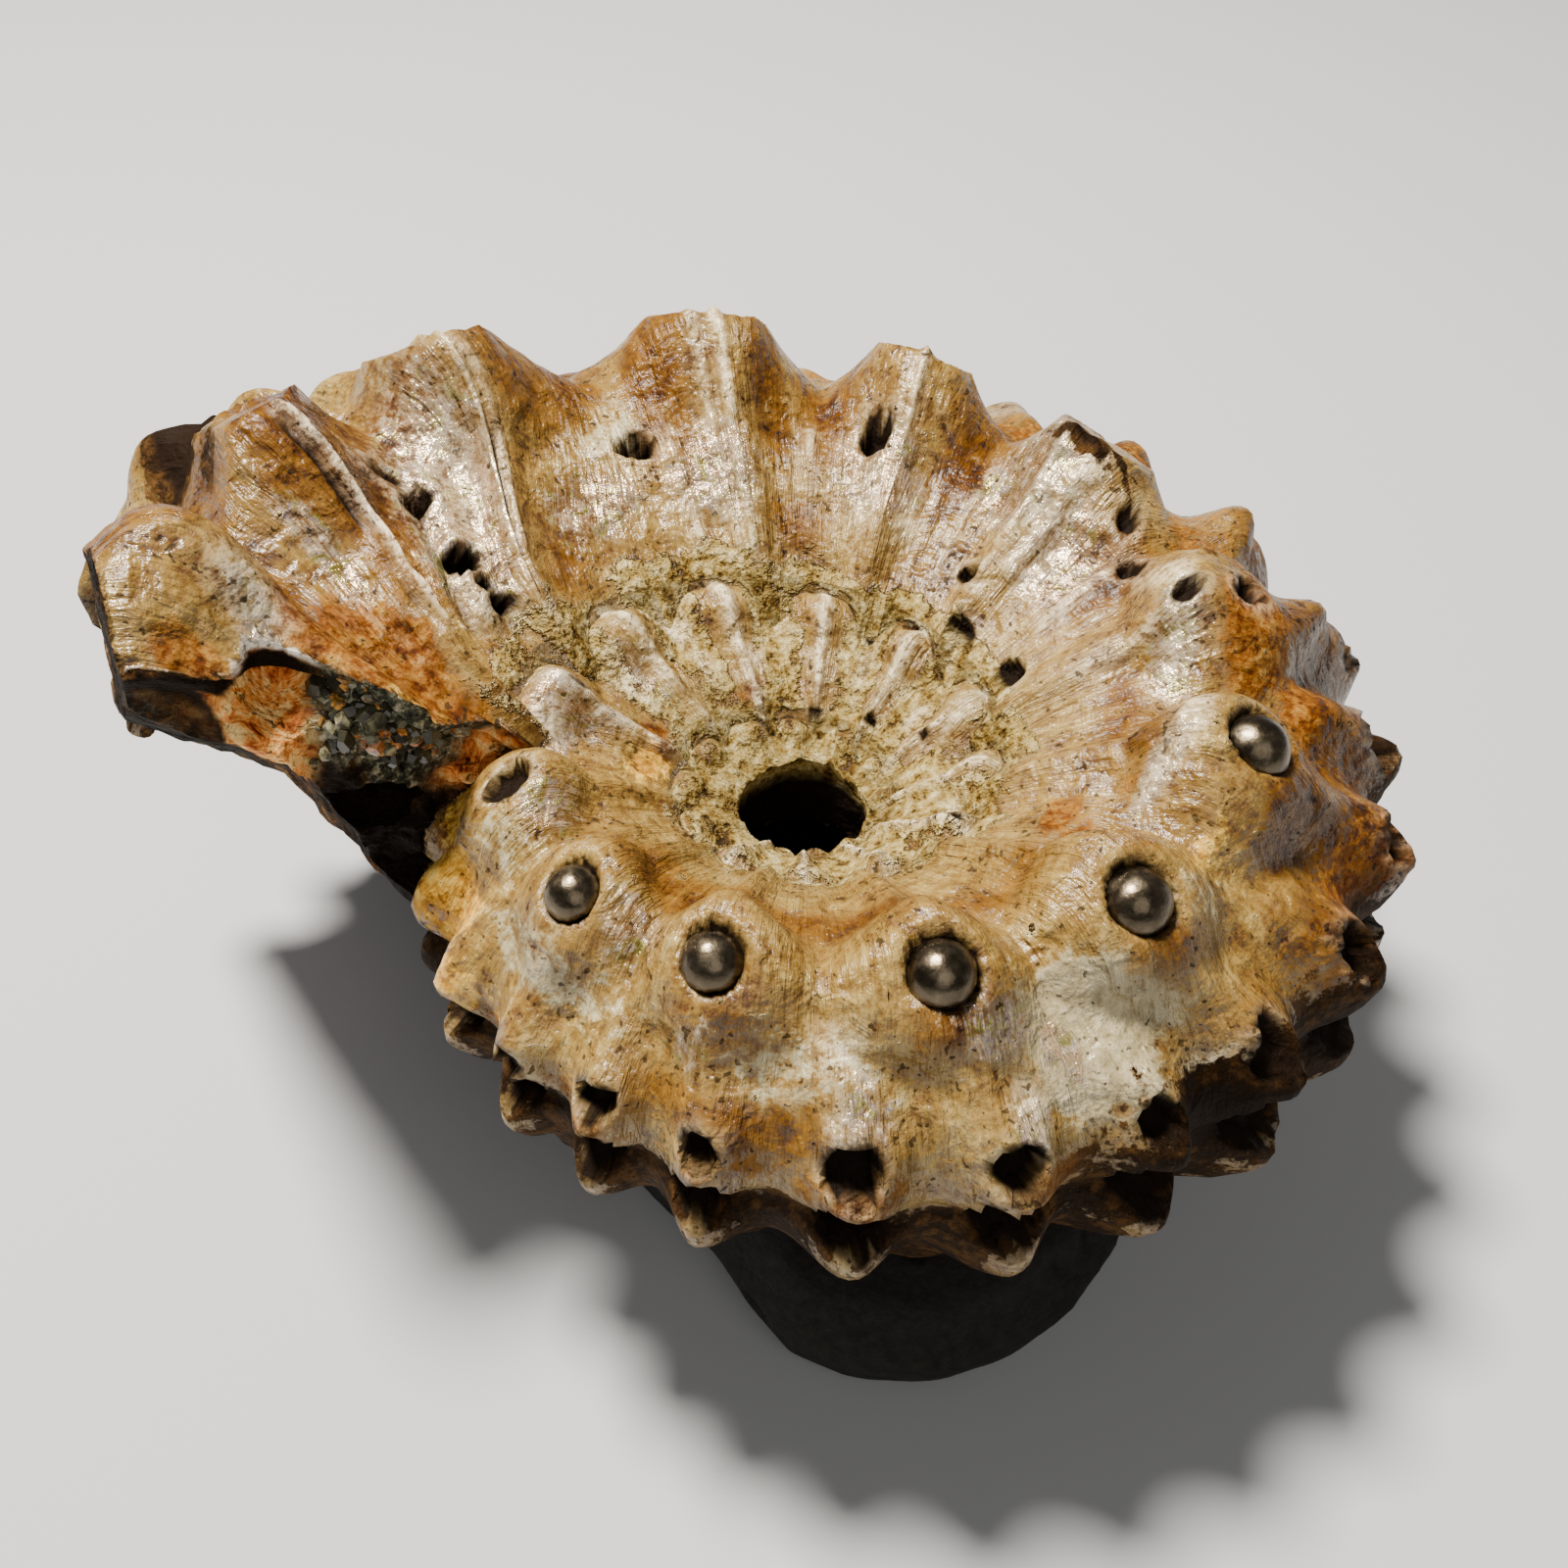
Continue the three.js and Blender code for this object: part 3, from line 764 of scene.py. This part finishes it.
# ------------ materials
class Graph:
    """Short names for the nodes of one material."""

    def __init__(self, name):
        self.material = bpy.data.materials.new(name)
        self.material.use_nodes = True
        self.tree = self.material.node_tree
        self.shader = self.tree.nodes["Principled BSDF"]

    def node(self, kind, **settings):
        made = self.tree.nodes.new(kind)
        for key, value in settings.items():
            setattr(made, key, value)
        return made

    def link(self, source, target):
        self.tree.links.new(source, target)

    def put(self, value, socket):
        if isinstance(value, bpy.types.NodeSocket):
            self.link(value, socket)
        else:
            socket.default_value = value

    def attribute(self, name, kind="Fac"):
        return self.node("ShaderNodeAttribute", attribute_name=name).outputs[kind]

    def place(self):
        return self.node("ShaderNodeTexCoord").outputs["Object"]

    def fill(self, made, values):
        for key, value in values.items():
            self.put(value, made.inputs[key])
        return made

    def noise(self, vector, scale, detail, roughness, distortion=0.0):
        made = self.fill(self.node("ShaderNodeTexNoise"), {
            "Vector": vector, "Scale": scale, "Detail": detail, "Roughness": roughness,
            "Distortion": distortion})
        return made.outputs["Fac"]

    def cells(self, vector, scale):
        made = self.node("ShaderNodeTexVoronoi", feature="F1")
        return self.fill(made, {"Vector": vector, "Scale": scale}).outputs["Distance"]

    def math(self, operation, a, b):
        made = self.node("ShaderNodeMath", operation=operation)
        return self.fill(made, {0: a, 1: b}).outputs[0]

    def part(self, a, b):
        return self.math("MULTIPLY", a, b)

    def most(self, first, *others):
        for other in others:
            first = self.math("MAXIMUM", first, other)
        return first

    def total(self, *parts):
        """The sum of the values, each times its weight."""
        running = 0.0
        for weight, value in parts:
            made = self.node("ShaderNodeMath", operation="MULTIPLY_ADD")
            running = self.fill(made, {0: value, 1: weight, 2: running}).outputs[0]
        return running

    def patch(self, name, middle, fine):
        """A painted patch with a ragged, mottled edge."""
        ragged = self.total((1.0, self.attribute(name)), (1.9, middle), (1.3, fine))
        return self.fit(ragged, 1.95, 2.3)

    def fit(self, value, low, high, to_low=0.0, to_high=1.0):
        made = self.node("ShaderNodeMapRange", interpolation_type="SMOOTHSTEP")
        self.fill(made, {"Value": value, "From Min": low, "From Max": high, "To Min": to_low,
                         "To Max": to_high})
        return made.outputs["Result"]

    def ramp(self, value, *stops):
        made = self.node("ShaderNodeValToRGB")
        self.put(value, made.inputs["Fac"])
        elements = made.color_ramp.elements
        while len(elements) < len(stops):
            elements.new(0.5)
        for element, (position, colour) in zip(elements, stops):
            element.position = position
            element.color = (*colour, 1)
        return made.outputs["Color"]

    def mix(self, share, a, b, blend="MIX"):
        made = self.node("ShaderNodeMix", data_type="RGBA", blend_type=blend)
        a, b = ((*value, 1) if isinstance(value, tuple) else value for value in (a, b))
        return self.fill(made, {0: share, 6: a, 7: b}).outputs[2]

    def product(self, a, b):
        return self.mix(1.0, a, b, "MULTIPLY")

    def blend(self, share, a, b):
        made = self.node("ShaderNodeMix", data_type="FLOAT")
        return self.fill(made, {0: share, 2: a, 3: b}).outputs[0]

    def bump(self, height, distance, strength, normal=None):
        made = self.node("ShaderNodeBump")
        self.fill(made, {"Strength": strength, "Distance": distance, "Height": height})
        if normal is not None:
            self.link(normal, made.inputs["Normal"])
        return made.outputs["Normal"]

    def surface(self, key, value):
        self.put(value, self.shader.inputs[key])


def shell_material():
    g = Graph("worn_shell")
    place, flow = g.place(), g.attribute("flow", "Vector")
    broad = g.noise(place, 140, 3, 0.55)
    middle = g.noise(place, 480, 4, 0.65, 0.4)
    fine = g.noise(place, 1500, 3, 0.72)
    streak = g.noise(flow, 1.1, 4, 0.68, 0.7)
    scratch = g.noise(flow, 4.2, 4, 0.72, 1.5)

    # worn brown shell: dark flecks, golden ground and cream scratches
    tone = g.total((0.15, broad), (0.26, middle), (0.32, fine), (0.2, streak), (0.07, scratch))
    tone = g.total((1.0, tone), (-0.055, g.attribute("brown")), (0.03, g.attribute("pale")),
                   (0.08, g.attribute("bright")))
    colour = g.ramp(tone, (0.34, (0.02, 0.007, 0.001)), (0.4, (0.07, 0.028, 0.005)),
                    (0.45, (0.145, 0.076, 0.014)), (0.51, (0.225, 0.139, 0.033)),
                    (0.58, (0.33, 0.235, 0.078)), (0.66, (0.54, 0.45, 0.21)))
    grey = g.ramp(tone, (0.4, (0.15, 0.115, 0.055)), (0.5, (0.29, 0.25, 0.145)), (0.62, (0.49, 0.45, 0.31)))
    colour = g.mix(g.part(0.8, g.patch("pale", middle, fine)), colour, grey)
    browned = g.product(colour, (0.7, 0.53, 0.32))
    brown = g.patch("brown", broad, fine)
    colour = g.mix(brown, colour, browned)

    # pearly patches, tinted in small flakes
    hue = g.noise(place, 520, 3, 0.7, 1.6)
    flakes = g.noise(flow, 2.2, 3, 0.6, 2.5)
    worn = g.total((0.5, streak), (0.5, scratch))
    flaky = g.total((0.35, middle), (0.3, fine), (0.35, flakes))
    pearl = g.ramp(hue, (0.34, (0.2, 0.2, 0.04)), (0.42, (0.48, 0.43, 0.2)), (0.47, (0.34, 0.27, 0.34)),
                   (0.52, (0.6, 0.51, 0.33)), (0.58, (0.46, 0.28, 0.19)), (0.66, (0.8, 0.75, 0.6)))
    shade = g.ramp(flaky, (0.4, (0.08, 0.045, 0.02)), (0.465, (0.34, 0.26, 0.17)),
                    (0.52, (0.72, 0.66, 0.56)), (0.58, (1.0, 1.0, 0.97)))
    pearl = g.product(pearl, shade)
    pearly = g.part(g.patch("nacre", g.total((0.5, middle), (0.5, worn)), fine),
                    g.fit(flaky, 0.43, 0.5, 0.35, 0.9))
    colour = g.mix(pearly, colour, pearl)

    speckle = g.total((0.5, middle), (0.5, fine))
    rust = g.ramp(speckle, (0.37, (0.025, 0.006, 0.001)), (0.45, (0.085, 0.023, 0.002)),
                  (0.53, (0.165, 0.057, 0.005)), (0.62, (0.27, 0.13, 0.02)))
    rusty = g.part(g.patch("rust", middle, fine), g.fit(fine, 0.4, 0.56, 1.0, 0.8))
    colour = g.mix(rusty, colour, rust)

    gold = g.ramp(speckle, (0.36, (0.1, 0.035, 0.003)), (0.43, (0.27, 0.115, 0.01)),
                  (0.51, (0.48, 0.25, 0.028)), (0.62, (0.68, 0.46, 0.1)))
    colour = g.mix(g.part(0.9, g.patch("gold", middle, fine)), colour, gold)

    # sediment: olive and gold crumbs with dark specks
    grains = g.patch("grains", middle, fine)
    crumbs = g.cells(place, 2200)
    sand = g.ramp(g.total((0.4, middle), (0.6, fine)), (0.38, (0.02, 0.01, 0.001)),
                  (0.43, (0.12, 0.07, 0.012)), (0.485, (0.24, 0.17, 0.048)), (0.55, (0.33, 0.255, 0.1)),
                  (0.64, (0.52, 0.45, 0.25)))
    colour = g.mix(g.part(0.9, grains), colour, sand)

    broken = g.attribute("broken")
    infill = g.ramp(g.noise(place, 800, 3, 0.75, 0.5), (0.34, (0.004, 0.003, 0.002)),
                    (0.46, (0.035, 0.017, 0.006)), (0.56, (0.13, 0.055, 0.014)), (0.68, (0.3, 0.19, 0.08)))
    colour = g.mix(broken, colour, infill)
    orange = g.ramp(g.noise(place, 750, 3, 0.72, 0.8), (0.32, (0.12, 0.02, 0.004)),
                    (0.4, (0.5, 0.125, 0.025)), (0.5, (0.84, 0.34, 0.08)), (0.62, (0.97, 0.66, 0.25)))
    colour = g.mix(g.attribute("orange"), colour, orange)
    green = g.ramp(fine, (0.36, (0.006, 0.007, 0.005)), (0.5, (0.05, 0.052, 0.034)),
                   (0.6, (0.22, 0.21, 0.14)), (0.7, (0.5, 0.46, 0.34)))
    colour = g.mix(g.attribute("green"), colour, green)
    colour = g.mix(g.attribute("edge"), colour, (0.9, 0.85, 0.74))

    # worn edges with painted glints; black marks with the painted shade of the low rim and underside;
    # painted shade in sockets, hollows and round the balls, with dark specks
    worn_edge_and_glint = g.part(g.attribute("bright"), g.fit(fine, 0.4, 0.55, 0.15, 0.75))
    colour = g.mix(worn_edge_and_glint, colour, (0.86, 0.76, 0.56))
    specks = g.fit(g.total((0.4, middle), (0.6, g.noise(place, 2600, 1, 0.4))), 0.355, 0.39, 0.75, 0.0)
    black_and_painted_shade = g.patch("black", middle, fine)
    black_and_shade_tone = g.ramp(g.total((0.6, middle), (0.4, fine)), (0.38, (0.006, 0.003, 0.001)),
                  (0.5, (0.018, 0.008, 0.002)), (0.6, (0.07, 0.032, 0.008)))
    colour = g.mix(black_and_painted_shade, colour, black_and_shade_tone)
    deepest = g.fit(g.attribute("black"), 1.0, 1.5)
    colour = g.mix(deepest, colour, (0.009, 0.004, 0.0015))
    shaded_hollows_and_specks = g.most(g.attribute("dark"), specks)
    colour = g.mix(shaded_hollows_and_specks, colour, (0.007, 0.0035, 0.0015))
    dark = g.most(shaded_hollows_and_specks, black_and_painted_shade)
    g.surface("Base Color", colour)

    gloss = g.blend(pearly, g.fit(g.total((0.5, fine), (0.5, scratch)), 0.4, 0.6, 0.38, 0.2), 0.2)
    gloss = g.blend(g.most(grains, rusty), gloss, 0.7)
    gloss = g.blend(g.most(dark, broken), gloss, 0.72)
    g.surface("Roughness", gloss)
    g.surface("IOR", 1.55)
    dull = g.most(dark, broken, grains, rusty, g.part(0.6, brown))
    g.surface("Specular IOR Level", g.fit(dull, 0.0, 1.0, 0.5, 0.06))
    g.surface("Metallic", g.part(0.55, pearly))

    lines = g.noise(flow, 1.4, 2, 0.55, 0.6)
    swell = g.noise(place, 560, 2, 0.55, 0.9)
    matt = g.most(grains, broken)
    folds = g.bump(broad, 0.0009, 0.6)
    combed = g.part(g.total((0.7, lines), (0.3, flakes)), g.fit(broad, 0.4, 0.6, 0.35, 1.0))
    ridges = g.bump(combed, 0.00055, 0.9, folds)
    dents = g.bump(g.total((0.6, swell), (0.4, middle)), 0.0006, 0.9, ridges)
    rough = g.bump(g.part(fine, g.fit(matt, 0.0, 1.0, 0.25, 1.0)), 0.0005, 0.8, dents)
    sandy = g.part(g.math("SUBTRACT", 1.0, crumbs), matt)
    g.surface("Normal", g.bump(sandy, 0.00014, 0.8, rough))
    return g.material


def ball_material():
    g = Graph("dark_bronze_mineral")
    place = g.place()
    cloudy = g.noise(place, 900, 3, 0.6)
    colour = g.ramp(cloudy, (0.34, (0.07, 0.055, 0.037)), (0.55, (0.12, 0.097, 0.067)),
                    (0.7, (0.19, 0.16, 0.11)))
    g.surface("Base Color", colour)
    g.surface("Metallic", 1.0)
    g.surface("Roughness", g.fit(cloudy, 0.35, 0.65, 0.24, 0.36))
    g.surface("Normal", g.bump(g.noise(place, 2200, 3, 0.6), 0.00006, 0.5))
    return g.material


def cobble_material():
    g = Graph("dark_cobble_stone")
    place = g.place()
    speckle = g.noise(place, 1400, 4, 0.7)
    wide = g.noise(place, 120, 3, 0.6)
    black = g.ramp(speckle, (0.35, (0.002, 0.002, 0.0015)), (0.75, (0.008, 0.0075, 0.006)))
    grey = g.ramp(speckle, (0.35, (0.003, 0.003, 0.0025)), (0.75, (0.014, 0.0135, 0.01)))
    colour = g.mix(g.fit(wide, 0.3, 0.7), black, grey)
    g.surface("Base Color", colour)
    g.surface("Roughness", g.fit(wide, 0.3, 0.7, 0.72, 0.9))
    g.surface("Specular IOR Level", 0.2)
    grain = g.bump(speckle, 0.0002, 0.6)
    g.surface("Normal", g.bump(g.noise(place, 300, 4, 0.6), 0.0006, 0.5, grain))
    return g.material


# ------------ the fossil
fossil = shell()
join(fossil, bore(), "DIFFERENCE")
drop_crumbs(fossil)
world = points_of(fossil.data)
info = known(world)
values = masks(world, info)
values.update(end_masks(world, info, values["dark"]))
paint(fossil, values)
flow = np.stack([info["heading"] * 0.5, info["angle"] * 0.035, info["rho"] * 0.2], axis=-1)
layer = fossil.data.attributes.new("flow", "FLOAT_VECTOR", "POINT")
layer.data.foreach_set("vector", flow.astype(np.float32).ravel())

shade_smooth(fossil.data)
fossil.data.materials.clear()
fossil.data.materials.append(shell_material())
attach(fossil, "root")
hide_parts("ammonite")


# ------------ the balls in their sockets
def balls():
    form = bmesh.new()
    for rib in BALL_RIBS:
        heading = rib_heading(rib)
        centre = section_point(heading, KNOB_REACH - BALL_SINK, KNOB_ANGLE)
        made = bmesh.ops.create_icosphere(form, subdivisions=4, radius=1.0)
        radius = BALL_RADIUS * 0.97 * growth(heading)
        for v in made["verts"]:
            p = np.array(v.co)
            swell = 1 + 0.03 * lumps.at(p + 5 * rib, 0.8)
            v.co = Vector(to_world(centre + p * radius * swell))
    piece = piece_from("mineral_balls", form)
    shade_smooth(piece.data)
    piece.data.materials.append(ball_material())
    return piece


fossil_balls = balls()
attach(fossil_balls, "root")


# ------------ crystals in the broken mouth
def crystals():
    """Small blocky crystals on the broken end, right of the arch."""
    rng = np.random.default_rng(5)
    corners = [(1, 0, 0), (0.45, 0.8, 0), (-0.5, 0.85, 0), (-1, 0, 0), (-0.45, -0.8, 0), (0.5, -0.85, 0)]
    heading = math.radians(END_HEADING)
    outwards = np.array([-math.sin(heading), math.cos(heading), 0])
    form = bmesh.new()
    tint = form.verts.layers.float.new("tint")
    for _ in range(CRYSTALS):
        angle = rng.uniform(103, 134)
        depth = rng.uniform(0.5, 3.6 - 0.06 * (angle - 103))
        flat = end_point(wall_depth(END_HEADING, angle, depth), angle)
        middle = flat + float(end_height(flat[None, :])[0]) * outwards
        size = (0.16 + 0.6 * rng.uniform() ** 3) * rng.uniform(0.6, 1.3, 3)
        turn = Euler(rng.uniform(0, 2 * math.pi, 3)).to_matrix()
        shade = rng.uniform()
        rings = []
        for lift, share in ((-0.8, 0.5), (0.1, 1.0), (0.75, 0.7)):
            ring = []
            for corner in corners:
                local = turn @ Vector(np.array((corner[0] * share, corner[1] * share, lift)) * size)
                vertex = form.verts.new(to_world(middle + np.array(local)))
                vertex[tint] = shade
                ring.append(vertex)
            rings.append(ring)
        form.faces.new(list(reversed(rings[0])))
        form.faces.new(rings[-1])
        for lower, upper in zip(rings, rings[1:]):
            for i in range(len(corners)):
                j = (i + 1) % len(corners)
                form.faces.new((lower[i], lower[j], upper[j], upper[i]))
    piece = piece_from("mouth_crystals", form)
    piece.data.materials.append(crystal_material())
    return outward(piece)


def crystal_material():
    g = Graph("grey_green_crystal")
    tint = g.attribute("tint")
    speck = g.noise(g.place(), 2500, 3, 0.6)
    mottled = g.total((0.75, tint), (0.7, g.noise(g.place(), 900, 3, 0.6)), (-0.22, 1.0))
    colour = g.ramp(mottled, (0.1, (0.008, 0.007, 0.004)), (0.35, (0.04, 0.04, 0.022)),
                    (0.53, (0.15, 0.145, 0.085)), (0.66, (0.34, 0.31, 0.2)), (0.74, (0.3, 0.08, 0.012)),
                    (0.88, (0.5, 0.24, 0.045)))
    colour = g.mix(g.fit(speck, 0.4, 0.6, 0.75, 0.0), colour, (0.02, 0.015, 0.008))
    g.surface("Base Color", colour)
    g.surface("Roughness", 0.25)
    g.surface("Specular IOR Level", 0.35)
    return g.material


fossil_crystals = crystals()
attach(fossil_crystals, "root")


# ------------ the cobble
def cobble():
    source = next(o for o in bpy.data.objects if o.type == "MESH" and o.name.split(".")[0] == "cobble")
    mesh = source.data.copy()
    piece = linked("dark_cobble", mesh)
    piece.matrix_world = source.matrix_world.copy()
    form = opened(mesh)
    bmesh.ops.remove_doubles(form, verts=form.verts, dist=EXACT)
    bmesh.ops.triangulate(form, faces=form.faces)
    closed(form, mesh)
    remesh = piece.modifiers.new("even", "REMESH")
    remesh.mode = "VOXEL"
    remesh.voxel_size = 0.0006
    ease = piece.modifiers.new("ease", "SMOOTH")
    ease.iterations = 8
    apply_modifiers(piece)
    result = piece.data
    points = points_of(result)
    normals = np.array([v.normal for v in result.vertices])
    mm = points / MM
    push = 0.12 * lumps.layered(mm, 6.0) + 0.07 * grit.layered(mm, 1.6) - 0.1
    pit = smooth((grit.at(mm, 2.1) - 0.62) / 0.12)
    push = push - 0.3 * pit
    on_ground = smooth((mm[:, 2] - 0.2) / 0.8)
    points = points + normals * (push * on_ground * MM)[:, None]
    points[:, 2] = np.maximum(points[:, 2], 0)
    result.vertices.foreach_set("co", points.astype(np.float32).ravel())
    shade_smooth(result)
    result.materials.clear()
    result.materials.append(cobble_material())
    return piece


stone = cobble()
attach(stone, "root")
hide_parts("cobble")


# ------------ floor, light and camera
def floor():
    piece = mesh_of("floor", [(-2, -2, 0), (2, -2, 0), (2, 2, 0), (-2, 2, 0)], [(0, 1, 2, 3)])
    piece.location.z = -0.0002
    g = Graph("pale_floor")
    g.surface("Base Color", (0.4, 0.415, 0.44, 1))
    g.surface("Roughness", 0.9)
    piece.data.materials.append(g.material)


def soft_light(name, location, size, power, colour):
    data = bpy.data.lights.new(name, "AREA")
    data.shape = "DISK"
    data.size = size
    data.energy = power
    data.color = colour
    lamp = linked(name, data)
    lamp.location = location
    direction = Vector(CENTRE * MM) - Vector(location)
    lamp.rotation_euler = direction.to_track_quat("-Z", "Y").to_euler()


def camera():
    middle = Vector(CENTRE) * MM
    tip = math.radians(45.2)  # how far it looks down
    reach = 0.0971  # from the middle of the coil, m
    data = bpy.data.cameras.new("camera")
    data.lens = 39
    data.sensor_width = 36
    data.clip_start = 0.005
    data.clip_end = 20
    data.shift_x = -0.0115
    data.shift_y = 0.0327
    seat = linked("camera", data)
    seat.location = middle + reach * Vector((0, -math.cos(tip), math.sin(tip)))
    seat.rotation_euler = (math.pi / 2 - tip, 0, 0)
    bpy.context.scene.camera = seat


floor()
soft_light("key", (-0.12, 0.08, 0.43), size=0.1, power=8.4, colour=(1.0, 0.92, 0.8))
soft_light("fill", (0.1, -0.45, 0.4), size=0.5, power=1.1, colour=(1.0, 0.95, 0.88))
world_light = bpy.data.worlds.new("studio")
world_light.use_nodes = True
around = world_light.node_tree.nodes["Background"]
around.inputs["Color"].default_value = (1, 0.98, 0.95, 1)
around.inputs["Strength"].default_value = 0.15
bpy.context.scene.world = world_light
camera()
